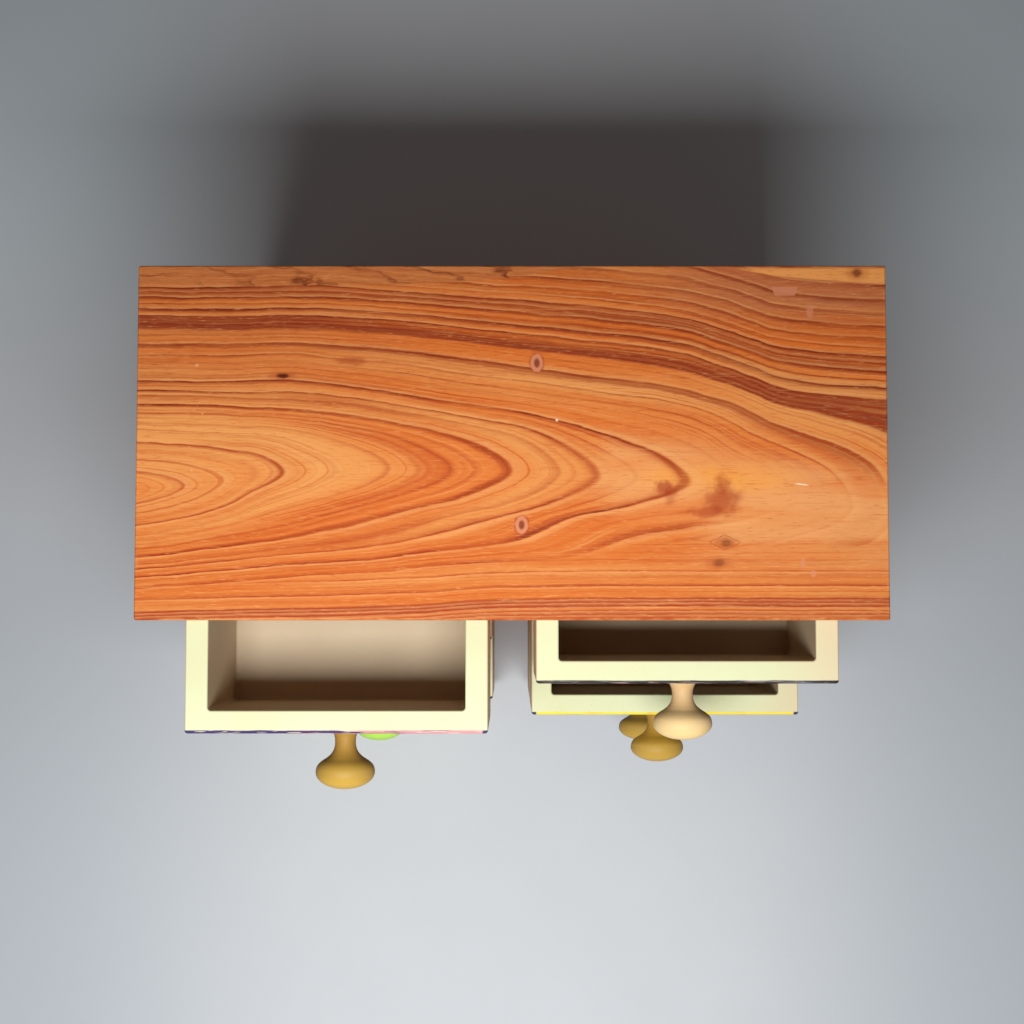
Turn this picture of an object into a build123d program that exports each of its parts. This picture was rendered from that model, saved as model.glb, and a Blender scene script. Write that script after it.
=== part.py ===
from build123d import *
import os

# Table-top chest of six loose ceramic drawers in a wooden carcass.
# Millimetres, +Z up. The origin is the middle of the base board's underside, and drawers open towards -Y.

# Carcass boards
chest_width = 250.0
chest_depth = 118.4
board_thickness = 12.5  # top, base, sides and divider
shelf_thickness = 8.0
housing_depth = 3.0  # how far a shelf's end goes into a side or the divider
housing_fit = 0.1  # glue room over a shelf's end and beyond it
edge_round = 0.8  # eased outer edges

# Back panel and the pins that hold it
panel_thickness = 4.0
panel_lap = 6.0  # how far the panel's edge lies in the rebate of each board
panel_fit = 0.2  # room round the panel's edges
pin_radius = 0.7
pin_length = 14.0
pin_head_radius = 1.5
pin_head_thickness = 0.6
pin_fit = 0.05
pin_end_room = 0.5
side_pin_spacing = 70.0
edge_pin_spacing = 80.0
divider_pin_spacing = 66.0

# Dowels between the uprights and the top and base
dowel_radius = 3.0
dowel_in_upright = 16.0
dowel_cover = 4.5  # wood left between a dowel's end and the outside
dowel_inset = 25.0  # from the front and the back
dowel_chamfer = 0.6
dowel_fit = 0.05
dowel_end_room = 0.5

# Ceramic drawers
drawer_height = 57.5
drawer_wall = 7.7
drawer_floor = 7.5
side_play = 1.78  # each side of a drawer that stands in the middle of its bay
running_gap = 0.2  # under a drawer
head_room = 1.0  # over a drawer's rim
back_room = 6.4  # behind a closed drawer, whose front is flush with the carcass
corner_round = 1.1
rim_round = 0.6
foot_round = 0.9
inner_corner_round = 1.2
inner_floor_round = 1.0

# Knobs: a foot on the drawer's front, a thin neck, and a head that swells to its widest part below an oval
# dome. The rises are shares of a knob's length from the drawer's front to its tip
knob_foot_radius = 6.3
knob_foot_lip = 0.5
knob_neck_radius = 3.7
knob_neck_share = 0.26
knob_shoulder_radius = 6.6
knob_shoulder_share = 0.505
knob_head_radius = 10.55
knob_widest_share = 0.735
quarter_oval = 0.5523  # how far a curve's handles reach for a quarter of an oval
spigot_radius = 3.0
socket_skin = 2.7  # drawer front left behind the knob's spigot
socket_fit = 0.1

# Where each drawer stands: how far it is pulled out, its sideways place as a share of the side play, how far
# its knob is set off the middle of its front, and how long that knob is
row_names = ["lower", "middle", "top"]
column_sides = {"left": -1, "right": 1}
pulled_out = {
    "lower_left": 37.1,
    "lower_right": 36.7,
    "middle_left": 9.3,
    "middle_right": 38.0,
    "top_left": 38.5,
    "top_right": 21.7,
}
sideways_share = {
    "lower_left": -0.13,
    "lower_right": -0.34,
    "middle_left": 0.12,
    "middle_right": -0.28,
    "top_left": -0.06,
    "top_right": 0.06,
}
knob_shift = {
    "lower_left": -0.1,
    "lower_right": 0.0,
    "middle_left": 0.0,
    "middle_right": -0.3,
    "top_left": -0.1,
    "top_right": 1.6,
}
knob_length = {
    "lower_left": 20.6,
    "lower_right": 20.8,
    "middle_left": 21.4,
    "middle_right": 21.1,
    "top_left": 22.4,
    "top_right": 21.8,
}

# Worked out from the sizes above
row_count = len(row_names)
front_y = -chest_depth / 2
back_y = chest_depth / 2
panel_front_y = back_y - panel_thickness
bay_depth = chest_depth - panel_thickness
bay_middle_y = front_y + bay_depth / 2
inner_half = chest_width / 2 - board_thickness
bay_width = inner_half - board_thickness / 2
bay_centre = (inner_half + board_thickness / 2) / 2
bay_height = drawer_height + running_gap + head_room
row_pitch = bay_height + shelf_thickness
upright_height = row_count * row_pitch - shelf_thickness
top_underside = board_thickness + upright_height
chest_height = top_underside + board_thickness
shelf_length = bay_width + 2 * housing_depth
panel_width = 2 * (inner_half + panel_lap - panel_fit)
panel_height = upright_height + 2 * (panel_lap - panel_fit)
dowel_in_board = board_thickness - dowel_cover
dowel_y = chest_depth / 2 - dowel_inset
upright_centres = {"left": -chest_width / 2 + board_thickness / 2, "right": chest_width / 2 - board_thickness / 2}
drawer_width = bay_width - 2 * side_play
drawer_length = bay_depth - back_room
spigot_length = drawer_wall - socket_skin

os.makedirs("parts", exist_ok=True)


def save(piece, name):
    """Label a finished piece and write it under its own name."""
    piece.part.label = name
    export_step(piece.part, f"parts/{name}.step")


def shelf_bottom(level):
    """Height of the underside of the shelf above that many rows."""
    return board_thickness + level * row_pitch - shelf_thickness


def pin_planes(points, y):
    """Planes that face backwards, one for each pin's (x, z) point."""
    return [Plane(origin=(x, y, z), z_dir=(0, 1, 0)) for x, z in points]


def side_pins(side):
    """Points of the pins that go into one side board."""
    x = side * (inner_half + panel_lap / 2)
    return [(x, chest_height / 2 + step * side_pin_spacing) for step in (-1, 0, 1)]


def edge_pins(z):
    """Points of the pins that go into the top or the base."""
    return [(step * edge_pin_spacing, z) for step in (-1, 0, 1)]


divider_pins = [(0, chest_height / 2 + step * divider_pin_spacing / 2) for step in (-1, 1)]
top_pins = edge_pins(top_underside + panel_lap / 2)
base_pins = edge_pins(board_thickness - panel_lap / 2)
all_pins = side_pins(-1) + side_pins(1) + top_pins + base_pins + divider_pins


def dowel_planes(centres, z, facing):
    """Planes at one height, two for each upright, facing up (1) or down (-1)."""
    return [Plane(origin=(x, y, z), z_dir=(0, 0, facing)) for x in centres for y in (-dowel_y, dowel_y)]


def drill_dowels(centres, z, facing, depth):
    """Drill the dowel holes into the piece that lies behind those planes."""
    with Locations(*dowel_planes(centres, z, facing)):
        Hole(dowel_radius + dowel_fit, depth + dowel_end_room)


def drill_pins(points):
    """Drill the holes that the back panel's pins go into."""
    with Locations(*pin_planes(points, panel_front_y)):
        Hole(pin_radius + pin_fit, pin_length - panel_thickness + pin_end_room)


def cut_panel_rebate():
    """Take the back panel's place out of a board."""
    with Locations((0, panel_front_y + panel_thickness / 2, chest_height / 2)):
        Box(panel_width + 2 * panel_fit, panel_thickness, panel_height + 2 * panel_fit, mode=Mode.SUBTRACT)


def cut_shelf_grooves(side):
    """Take the places of one column's shelves out of a side or the divider."""
    height = shelf_thickness + housing_fit
    middles = [shelf_bottom(level) + height / 2 for level in range(1, row_count)]
    with Locations(*[(side * bay_centre, bay_middle_y, z) for z in middles]):
        Box(shelf_length + 2 * housing_fit, bay_depth, height, mode=Mode.SUBTRACT)


# Top and base: full boards over and under the uprights, drilled for dowels and rebated for the panel
every_upright = [*upright_centres.values(), 0]

with BuildPart() as top_board:
    with BuildSketch(Plane.XY.offset(top_underside)):
        Rectangle(chest_width, chest_depth)
    extrude(amount=board_thickness)
    fillet(top_board.edges().filter_by(Axis.Z) + top_board.faces().sort_by(Axis.Z)[-1].edges(), edge_round)
    cut_panel_rebate()
    drill_dowels(every_upright, top_underside, -1, dowel_in_board)
    drill_pins(top_pins)
save(top_board, "top_board")

with BuildPart() as base_board:
    with BuildSketch(Plane.XY):
        Rectangle(chest_width, chest_depth)
    extrude(amount=board_thickness)
    fillet(base_board.edges().filter_by(Axis.Z) + base_board.faces().sort_by(Axis.Z)[0].edges(), edge_round)
    cut_panel_rebate()
    drill_dowels(every_upright, board_thickness, 1, dowel_in_board)
    drill_pins(base_pins)
save(base_board, "base_board")

# Uprights: the two sides and the divider, grooved for the shelves
for column, side in column_sides.items():
    with BuildPart() as side_board:
        with BuildSketch(Plane.XY.offset(board_thickness)):
            with Locations((upright_centres[column], 0)):
                Rectangle(board_thickness, chest_depth)
        extrude(amount=upright_height)
        outer_edges = side_board.edges().filter_by(Axis.Z).group_by(Axis.X)[-1 if side > 0 else 0]
        fillet(outer_edges, edge_round)
        cut_panel_rebate()
        cut_shelf_grooves(side)
        drill_dowels([upright_centres[column]], top_underside, 1, dowel_in_upright)
        drill_dowels([upright_centres[column]], board_thickness, -1, dowel_in_upright)
        drill_pins(side_pins(side))
    save(side_board, f"{column}_side")

with BuildPart() as centre_divider:
    with BuildSketch(Plane.XY.offset(board_thickness)):
        with Locations((0, bay_middle_y)):
            Rectangle(board_thickness, bay_depth)
    extrude(amount=upright_height)
    for side in column_sides.values():
        cut_shelf_grooves(side)
    drill_dowels([0], top_underside, 1, dowel_in_upright)
    drill_dowels([0], board_thickness, -1, dowel_in_upright)
    drill_pins(divider_pins)
save(centre_divider, "centre_divider")

# Shelves under the middle and top rows
for column, side in column_sides.items():
    for level, level_name in [(1, "lower"), (2, "upper")]:
        with BuildPart() as shelf:
            with BuildSketch(Plane.XY.offset(shelf_bottom(level))):
                with Locations((side * bay_centre, bay_middle_y)):
                    Rectangle(shelf_length, bay_depth)
            extrude(amount=shelf_thickness)
        save(shelf, f"{level_name}_{column}_shelf")

# Back panel, with a counterbored hole for each pin's head
with BuildPart() as back_panel:
    with BuildSketch(Plane.XZ.offset(-panel_front_y)):
        with Locations((0, chest_height / 2)):
            Rectangle(panel_width, panel_height)
    extrude(amount=-panel_thickness)
    with Locations(*pin_planes(all_pins, back_y)):
        CounterBoreHole(pin_radius + pin_fit, pin_head_radius + pin_fit, pin_head_thickness)
save(back_panel, "back_panel")

with BuildPart() as back_panel_pins:
    with Locations(*pin_planes(all_pins, back_y)):
        Cylinder(pin_radius, pin_length, align=(Align.CENTER, Align.CENTER, Align.MAX))
        Cylinder(pin_head_radius, pin_head_thickness, align=(Align.CENTER, Align.CENTER, Align.MAX))
save(back_panel_pins, "back_panel_pins")

# Dowels: planes on the joint line, each facing into the top or base
for name, z, facing in [("top_dowels", top_underside, 1), ("base_dowels", board_thickness, -1)]:
    with BuildPart() as dowels:
        with Locations(*dowel_planes(every_upright, z, facing)):
            Cylinder(dowel_radius, dowel_in_board, align=(Align.CENTER, Align.CENTER, Align.MIN))
            Cylinder(dowel_radius, dowel_in_upright, align=(Align.CENTER, Align.CENTER, Align.MAX))
        chamfer(dowels.edges().filter_by(GeomType.CIRCLE), dowel_chamfer)
    save(dowels, name)


def make_drawer(name, x, y, z, knob_x, knob_z):
    """One open ceramic box whose front's foot is at (x, y, z), with a blind socket for its knob."""
    middle = (x, y + drawer_length / 2)
    with BuildPart() as drawer:
        with BuildSketch(Plane.XY.offset(z)):
            with Locations(middle):
                RectangleRounded(drawer_width, drawer_length, corner_round)
        extrude(amount=drawer_height)
        foot_edges = drawer.faces().sort_by(Axis.Z)[0].edges()
        fillet(foot_edges, foot_round)
        with BuildSketch(Plane.XY.offset(z + drawer_floor)):
            with Locations(middle):
                RectangleRounded(
                    drawer_width - 2 * drawer_wall, drawer_length - 2 * drawer_wall, inner_corner_round
                )
        extrude(amount=drawer_height - drawer_floor, mode=Mode.SUBTRACT)
        inside_floor = drawer.faces().filter_by(Axis.Z).sort_by(Axis.Z)[1]
        fillet(inside_floor.edges(), inner_floor_round)
        rim = drawer.faces().filter_by(Axis.Z).sort_by(Axis.Z)[-1]
        fillet(rim.edges(), rim_round)
        with Locations(Plane(origin=(knob_x, y, knob_z), z_dir=(0, -1, 0))):
            Hole(spigot_radius + socket_fit, spigot_length + socket_fit)
    save(drawer, f"{name}_drawer")


def make_knob(name, x, y, z, tip):
    """One turned ceramic knob on the drawer's front at (x, y, z), with its spigot in the drawer's socket."""
    neck = knob_neck_share * tip
    shoulder = knob_shoulder_share * tip
    widest = knob_widest_share * tip
    with BuildPart() as knob:
        with BuildSketch(Plane(origin=(x, y, z), x_dir=(1, 0, 0), z_dir=(0, 0, -1))):
            with BuildLine():
                Polyline(
                    (0, tip),
                    (0, -spigot_length),
                    (spigot_radius, -spigot_length),
                    (spigot_radius, 0),
                    (knob_foot_radius, 0),
                    (knob_foot_radius, knob_foot_lip),
                )
                Spline(
                    (knob_foot_radius, knob_foot_lip),
                    (knob_neck_radius, neck),
                    tangents=((-1, 0.5), (0, 1)),
                )
                Spline(
                    (knob_neck_radius, neck),
                    (knob_shoulder_radius, shoulder),
                    (knob_head_radius, widest),
                    tangents=((0, 1), (0, 1)),
                )
                Bezier(
                    (knob_head_radius, widest),
                    (knob_head_radius, widest + quarter_oval * (tip - widest)),
                    (quarter_oval * knob_head_radius, tip),
                    (0, tip),
                )
            make_face()
        revolve(axis=Axis((x, y, z), (0, -1, 0)))
    save(knob, f"{name}_knob")


for row, row_name in enumerate(row_names):
    for column, side in column_sides.items():
        name = f"{row_name}_{column}"
        drawer_x = side * bay_centre + sideways_share[name] * side_play
        drawer_y = front_y - pulled_out[name]
        drawer_z = board_thickness + row * row_pitch + running_gap
        knob_x = drawer_x + knob_shift[name]
        knob_z = drawer_z + drawer_height / 2
        make_drawer(name, drawer_x, drawer_y, drawer_z, knob_x, knob_z)
        make_knob(name, knob_x, drawer_y, knob_z, knob_length[name])
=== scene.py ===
import math
from typing import NamedTuple

import bmesh
import bpy
from bpy.props import FloatProperty, FloatVectorProperty, PointerProperty
from bpy.types import Operator, Panel, PropertyGroup
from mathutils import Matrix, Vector


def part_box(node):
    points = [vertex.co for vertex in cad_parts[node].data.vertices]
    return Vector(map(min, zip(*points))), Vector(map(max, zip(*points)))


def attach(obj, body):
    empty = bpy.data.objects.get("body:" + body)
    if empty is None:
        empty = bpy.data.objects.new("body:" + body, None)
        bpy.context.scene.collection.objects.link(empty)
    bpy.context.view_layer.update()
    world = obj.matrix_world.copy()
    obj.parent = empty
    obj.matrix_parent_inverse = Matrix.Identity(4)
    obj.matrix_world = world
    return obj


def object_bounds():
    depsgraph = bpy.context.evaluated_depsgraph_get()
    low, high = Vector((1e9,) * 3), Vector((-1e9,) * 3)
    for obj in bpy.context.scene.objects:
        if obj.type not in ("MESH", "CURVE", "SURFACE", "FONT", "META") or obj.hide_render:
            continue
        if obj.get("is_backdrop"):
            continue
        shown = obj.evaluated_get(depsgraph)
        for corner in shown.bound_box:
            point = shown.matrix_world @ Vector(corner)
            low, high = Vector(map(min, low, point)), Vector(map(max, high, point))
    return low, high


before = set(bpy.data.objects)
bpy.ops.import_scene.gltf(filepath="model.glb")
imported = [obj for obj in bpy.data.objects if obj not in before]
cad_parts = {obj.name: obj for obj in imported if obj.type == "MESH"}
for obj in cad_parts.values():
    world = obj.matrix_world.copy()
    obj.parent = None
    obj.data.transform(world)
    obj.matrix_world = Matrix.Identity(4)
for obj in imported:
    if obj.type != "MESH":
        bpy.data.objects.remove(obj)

CAD_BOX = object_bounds()

bl_info = {
    "name": "Ceramic drawer chest",
    "version": (1, 0, 0),
    "blender": (4, 5, 0),
    "location": "View3D > Sidebar > Chest",
    "description": "Finishes of a small wooden chest with painted ceramic drawers",
    "category": "Object",
}

MM_PER_M = 1000.0
ROWS = ("lower", "middle", "top")
COLUMNS = ("left", "right")
DRAWERS = [f"{row}_{column}" for row in ROWS for column in COLUMNS]


def paint(red, green, blue):
    """A colour as a paint chart gives it, 0 to 255, turned into the linear values that shaders use."""
    def linear(value):
        value /= 255
        return value / 12.92 if value <= 0.04045 else ((value + 0.055) / 1.055) ** 2.4
    return (linear(red), linear(green), linear(blue))


def box_mm(node):
    """A node's lowest and highest corners in millimetres."""
    low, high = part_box(node)
    return Vector(low) * MM_PER_M, Vector(high) * MM_PER_M


# Fields and finishes: materials written as ordinary arithmetic on places in millimetres


class Field:
    """A number that changes over a surface."""

    def __init__(self, finish, socket):
        self.finish = finish
        self.socket = socket

    def __add__(self, other):
        return self.finish.math("ADD", self, other)

    def __sub__(self, other):
        return self.finish.math("SUBTRACT", self, other)

    def __rsub__(self, other):
        return self.finish.math("SUBTRACT", other, self)

    def __mul__(self, other):
        return self.finish.math("MULTIPLY", self, other)

    def __truediv__(self, other):
        return self.finish.math("DIVIDE", self, other)

    __radd__ = __add__
    __rmul__ = __mul__

    def above(self, floor):
        """This number, or the floor where the floor is higher."""
        return self.finish.math("MAXIMUM", self, floor)

    def below(self, ceiling):
        """This number, or the ceiling where the ceiling is lower."""
        return self.finish.math("MINIMUM", self, ceiling)

    def clipped(self):
        """Kept between 0 and 1."""
        return self.above(0.0).below(1.0)

    def size(self):
        return self.finish.math("ABSOLUTE", self)

    def root(self):
        return self.finish.math("SQRT", self)

    def whole(self):
        return self.finish.math("FLOOR", self)

    def part(self):
        """What is left over the whole number."""
        return self.finish.math("FRACT", self)

    def step(self, low, high):
        """Rises smoothly from 0 at low to 1 at high."""
        node = self.finish.node("ShaderNodeMapRange")
        node.interpolation_type = "SMOOTHSTEP"
        for name, value in (("Value", self), ("From Min", low), ("From Max", high)):
            self.finish.put(node.inputs[name], value)
        return Field(self.finish, node.outputs["Result"])

    def between(self, low, high, soft):
        """1 between two values, falling smoothly to 0 outside."""
        return self.step(low - soft, low + soft) * (1.0 - self.step(high - soft, high + soft))

    def curve(self, points):
        """Follows a smooth curve through a few (place, value) points."""
        places = [place for place, value in points]
        values = [value for place, value in points]
        first, length = places[0], places[-1] - places[0]
        lowest, reach = min(values), max(values) - min(values)
        node = self.finish.node("ShaderNodeFloatCurve")
        knots = node.mapping.curves[0].points
        while len(knots) < len(points):
            knots.new(0.5, 0.5)
        for knot, place, value in zip(knots, places, values):
            knot.location = ((place - first) / length, (value - lowest) / reach)
        node.mapping.update()
        self.finish.put(node.inputs["Value"], (self - first) / length)
        return Field(self.finish, node.outputs["Value"]) * reach + lowest


class Finish:
    """A material in the making, with a short call for each kind of node."""

    def __init__(self, name):
        self.material = bpy.data.materials.new(name)
        self.material.use_nodes = True
        self.tree = self.material.node_tree
        self.tree.nodes.clear()
        self.shader = self.node("ShaderNodeBsdfPrincipled")
        output = self.node("ShaderNodeOutputMaterial")
        self.tree.links.new(self.shader.outputs["BSDF"], output.inputs["Surface"])
        place = self.node("ShaderNodeSeparateXYZ")
        self.tree.links.new(self.node("ShaderNodeTexCoord").outputs["Object"], place.inputs[0])
        self.x, self.y, self.z = [Field(self, socket) * MM_PER_M for socket in place.outputs]

    def node(self, kind):
        return self.tree.nodes.new(kind)

    def put(self, socket, value):
        """Link a field or a colour to a socket, or set a plain value on it."""
        if isinstance(value, Field):
            value = value.socket
        if isinstance(value, bpy.types.NodeSocket):
            self.tree.links.new(value, socket)
        elif socket.type == "RGBA":
            socket.default_value = (*value, 1.0)
        else:
            socket.default_value = value

    def math(self, operation, *values):
        node = self.node("ShaderNodeMath")
        node.operation = operation
        for socket, value in zip(node.inputs, values):
            self.put(socket, value)
        return Field(self, node.outputs["Value"])

    def point(self, x, y, z):
        node = self.node("ShaderNodeCombineXYZ")
        for socket, value in zip(node.inputs, (x, y, z)):
            self.put(socket, value)
        return node.outputs["Vector"]

    def noise(self, x, y, z, detail=2.0, roughness=0.5):
        """Cloudy noise from about -1 to 1, one cloud for each unit of x, y and z."""
        node = self.node("ShaderNodeTexNoise")
        self.put(node.inputs["Vector"], self.point(x, y, z))
        for name, value in (("Scale", 1.0), ("Detail", detail), ("Roughness", roughness)):
            self.put(node.inputs[name], value)
        return Field(self, node.outputs["Fac"]) * 2.0 - 1.0

    def clouds(self, per_mm, detail=3.0):
        """The same noise in all directions, with so many clouds to a millimetre."""
        return self.noise(self.x * per_mm, self.y * per_mm, self.z * per_mm, detail)

    def cracks(self, per_mm):
        """Distance from the edges of irregular cells, as a share of a cell."""
        node = self.node("ShaderNodeTexVoronoi")
        node.feature = "DISTANCE_TO_EDGE"
        self.put(node.inputs["Vector"], self.point(self.x, self.y, self.z))
        self.put(node.inputs["Scale"], per_mm)
        return Field(self, node.outputs["Distance"])

    def edge(self, low, high):
        """How far a point on a box's faces is from the nearest edge of that box."""
        sides = [(top - bottom) / 2 - (place - (top + bottom) / 2).size()
                 for place, bottom, top in zip((self.x, self.y, self.z), low, high)]
        first, second, third = sides
        return first.below(second).above(first.above(second).below(third))

    def blend(self, amount, first, second):
        """The first colour, or the second where amount is 1."""
        node = self.node("ShaderNodeMix")
        node.data_type = "RGBA"
        for index, value in ((0, amount), (6, first), (7, second)):
            self.put(node.inputs[index], value)
        return node.outputs[2]

    def spot(self, x, y, width, depth, soft=0.3, wobble=0.0):
        """1 inside an oval seen from above, 0 outside, with a soft and perhaps wobbly edge."""
        across = (self.x - x) / (width / 2)
        along = (self.y - y) / (depth / 2)
        reach = (across * across + along * along).root()
        if wobble:
            grain = 3.0 / width
            reach = reach + self.noise(self.x * grain, self.y * grain, x) * wobble
        return 1.0 - reach.step(1.0 - soft, 1.0 + soft)

    def relief(self, height, depth_mm):
        """Raise the surface by a field that is 1 at depth_mm."""
        node = self.node("ShaderNodeBump")
        node.inputs["Distance"].default_value = depth_mm / MM_PER_M
        self.put(node.inputs["Height"], height)
        self.tree.links.new(node.outputs["Normal"], self.shader.inputs["Normal"])

    def surface(self, colour, roughness, specular=0.5, metallic=0.0):
        """Connect the finished fields to the shader and give back the material."""
        self.put(self.shader.inputs["Base Color"], colour)
        self.put(self.shader.inputs["Roughness"], roughness)
        self.shader.inputs["Specular IOR Level"].default_value = specular
        self.shader.inputs["Metallic"].default_value = metallic
        return self.material


def dress(node, material):
    """Give a CAD node one material all over."""
    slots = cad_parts[node].data.materials
    for index in range(len(slots)):
        slots[index] = material


# Settings


class CHEST_PG_wood(PropertyGroup):
    """Colours and finish of the wooden carcass."""
    pale: FloatVectorProperty(
        name="Pale wood", description="Early wood between the rings", subtype="COLOR",
        default=paint(238, 162, 90), min=0, max=1)
    warm: FloatVectorProperty(
        name="Warm wood", description="Middle tone of the boards", subtype="COLOR",
        default=paint(226, 116, 46), min=0, max=1)
    dark: FloatVectorProperty(
        name="Ring wood", description="Late wood in the ring lines", subtype="COLOR",
        default=paint(94, 28, 10), min=0, max=1)
    red: FloatVectorProperty(
        name="Red wood", description="Reddish wood in the bands and along the edges", subtype="COLOR",
        default=paint(160, 58, 26), min=0, max=1)
    rust: FloatVectorProperty(
        name="Rust wood", description="Red of the lines in the front of the top", subtype="COLOR",
        default=paint(192, 74, 30), min=0, max=1)
    filler: FloatVectorProperty(
        name="Filler", description="Pink filler in old nail holes and dents", subtype="COLOR",
        default=paint(219, 137, 99), min=0, max=1)
    varnish: FloatProperty(
        name="Varnish roughness", description="Roughness of the satin varnish", subtype="FACTOR",
        default=0.55, min=0, max=1)


class CHEST_PG_glaze(PropertyGroup):
    """Colours and finish of the ceramic drawers and knobs."""
    cream: FloatVectorProperty(
        name="Cream glaze", description="Glaze of the drawers", subtype="COLOR",
        default=paint(211, 216, 174), min=0, max=1)
    # The inside colour is partly a thinner beige glaze and partly painted shade for the hollow of the drawers
    inside: FloatVectorProperty(
        name="Inside glaze", description="Thin beige glaze inside the drawers", subtype="COLOR",
        default=paint(197, 177, 147), min=0, max=1)
    clay: FloatVectorProperty(
        name="Bare clay", description="Unglazed underside of the drawers", subtype="COLOR",
        default=paint(205, 172, 138), min=0, max=1)
    mustard: FloatVectorProperty(
        name="Mustard glaze", description="Mustard knobs", subtype="COLOR",
        default=paint(180, 144, 60), min=0, max=1)
    green: FloatVectorProperty(
        name="Green glaze", description="Lime green knob", subtype="COLOR",
        default=paint(196, 246, 102), min=0, max=1)
    peach: FloatVectorProperty(
        name="Peach glaze", description="Warm cream knobs", subtype="COLOR",
        default=paint(226, 194, 136), min=0, max=1)
    gloss: FloatProperty(
        name="Glaze roughness", description="Roughness of the fired glaze", subtype="FACTOR",
        default=0.55, min=0, max=1)
    wrap: FloatProperty(
        name="Paint wrap", description="How far a front's paint goes round its edges", unit="LENGTH",
        default=0.0011, min=0, max=0.01)
    stroke_height: FloatProperty(
        name="Stroke height", description="How far the brush strokes stand up from a front", unit="LENGTH",
        default=0.00022, min=0, max=0.002)
    knob_clearance: FloatProperty(
        name="Knob clearance", description="Bare ring between the knob's axis and the brush strokes",
        unit="LENGTH", default=0.0078, min=0, max=0.02)


class CHEST_PG_stage(PropertyGroup):
    """Floor, light and camera."""
    floor: FloatVectorProperty(
        name="Floor", description="Colour of the plain floor", subtype="COLOR",
        default=paint(208, 212, 216), min=0, max=1)
    key_power: FloatProperty(
        name="Key light", description="Power of the soft light over the front", unit="POWER",
        default=3.03, min=0)
    key_width: FloatProperty(
        name="Key width", description="Width of the soft light", unit="LENGTH", default=0.320, min=0)
    key_length: FloatProperty(
        name="Key length", description="Length of the soft light", unit="LENGTH", default=0.170, min=0)
    key_spread: FloatProperty(
        name="Key spread", description="How far the soft light fans out", subtype="ANGLE",
        default=math.radians(155), min=0, max=math.pi)
    key_place: FloatVectorProperty(
        name="Key place", description="Where the soft light hangs", subtype="TRANSLATION", unit="LENGTH",
        default=(-0.026, -0.2227, 0.608))
    key_target: FloatVectorProperty(
        name="Key target", description="Where the soft light points", subtype="TRANSLATION", unit="LENGTH",
        default=(-0.032, -0.395, 0.0))
    fill: FloatProperty(
        name="Fill light", description="Strength of the light from all round", default=0.082, min=0)
    lens: FloatProperty(
        name="Lens", description="Focal length of the camera", unit="CAMERA", default=50.0, min=1)
    tilt: FloatProperty(
        name="Camera tilt", description="How far the camera leans from straight down", subtype="ANGLE",
        default=math.radians(3.09))
    camera_over_top: FloatProperty(
        name="Camera height", description="Camera above the chest's top", unit="LENGTH", default=0.4705)
    camera_behind_front: FloatProperty(
        name="Camera setback", description="Camera behind the carcass's front edge", unit="LENGTH",
        default=0.0104)


# Wood

# Rings of the top board: radius round the heart of the log, darkness, and how far it fades in (millimetres)
TOP_RINGS = (
    (8.2, 0.70, 0.9), (11.4, 0.55, 0.8), (16.0, 0.72, 1.2), (19.2, 0.20, 0.8), (22.0, 0.42, 1.0),
    (23.6, 0.34, 0.7), (25.2, 0.50, 0.8), (26.4, 0.30, 0.6), (28.2, 0.95, 1.5), (31.0, 0.50, 1.0),
    (32.9, 0.85, 1.3), (36.2, 0.98, 1.4), (38.4, 0.26, 0.6), (40.4, 0.24, 0.6), (42.2, 0.28, 0.7),
    (44.6, 0.62, 0.7), (48.4, 0.75, 1.5), (51.4, 0.30, 0.6), (53.6, 0.48, 1.0), (54.8, 0.50, 0.9),
    (56.0, 0.50, 1.0), (57.3, 0.90, 1.1), (59.6, 0.85, 1.0), (61.2, 0.50, 0.7), (63.2, 0.80, 1.1),
    (65.0, 0.55, 0.7), (66.6, 0.80, 1.0), (68.6, 0.55, 0.8), (71.0, 0.60, 1.1), (74.0, 0.75, 1.6),
    (77.5, 0.60, 1.3), (81.0, 0.70, 1.8), (85.0, 0.60, 1.8), (89.0, 0.60, 2.0),
)
# Rings that only show in front of the heart
BEFORE_RINGS = ((40.5, 0.90, 1.6), (43.4, 0.45, 0.8))
# Straight lines along the front edge: distance in front of the board's middle, darkness, fade
FRONT_LINES = (
    (34.6, 0.28, 0.6), (37.4, 0.22, 0.5), (39.8, 0.34, 0.6), (43.5, 0.60, 0.8), (45.6, 0.22, 0.5),
    (48.3, 0.66, 0.9), (50.2, 0.26, 0.5), (52.6, 0.62, 0.7), (53.7, 0.72, 1.0), (55.0, 0.80, 1.2),
    (56.4, 0.62, 0.6), (57.6, 0.55, 0.6), (58.7, 0.50, 0.5),
)
# Width of a line's sharp outer edge, and the darkness above which a pale edge lies beyond it
RING_EDGE = 0.28
PALE_EDGE_FROM = 0.51
# Broad red-brown bands between the same two kinds of lines: start, end, strength, and for the rings the share
# of that strength that is left in the middle of the board
DARK_BANDS = ((53.0, 55.2, 1.2, 1.0), (55.2, 57.6, 1.2, 0.3), (47.0, 48.6, 0.6, 1.0), (58.6, 60.0, 0.7, 1.0),
              (62.4, 67.0, 0.7, 1.0), (69.0, 95.0, 0.2, 1.0))
FRONT_BANDS = ((52.2, 55.6, 1.3), (47.6, 48.6, 0.5), (56.2, 59.2, 0.8))
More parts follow.
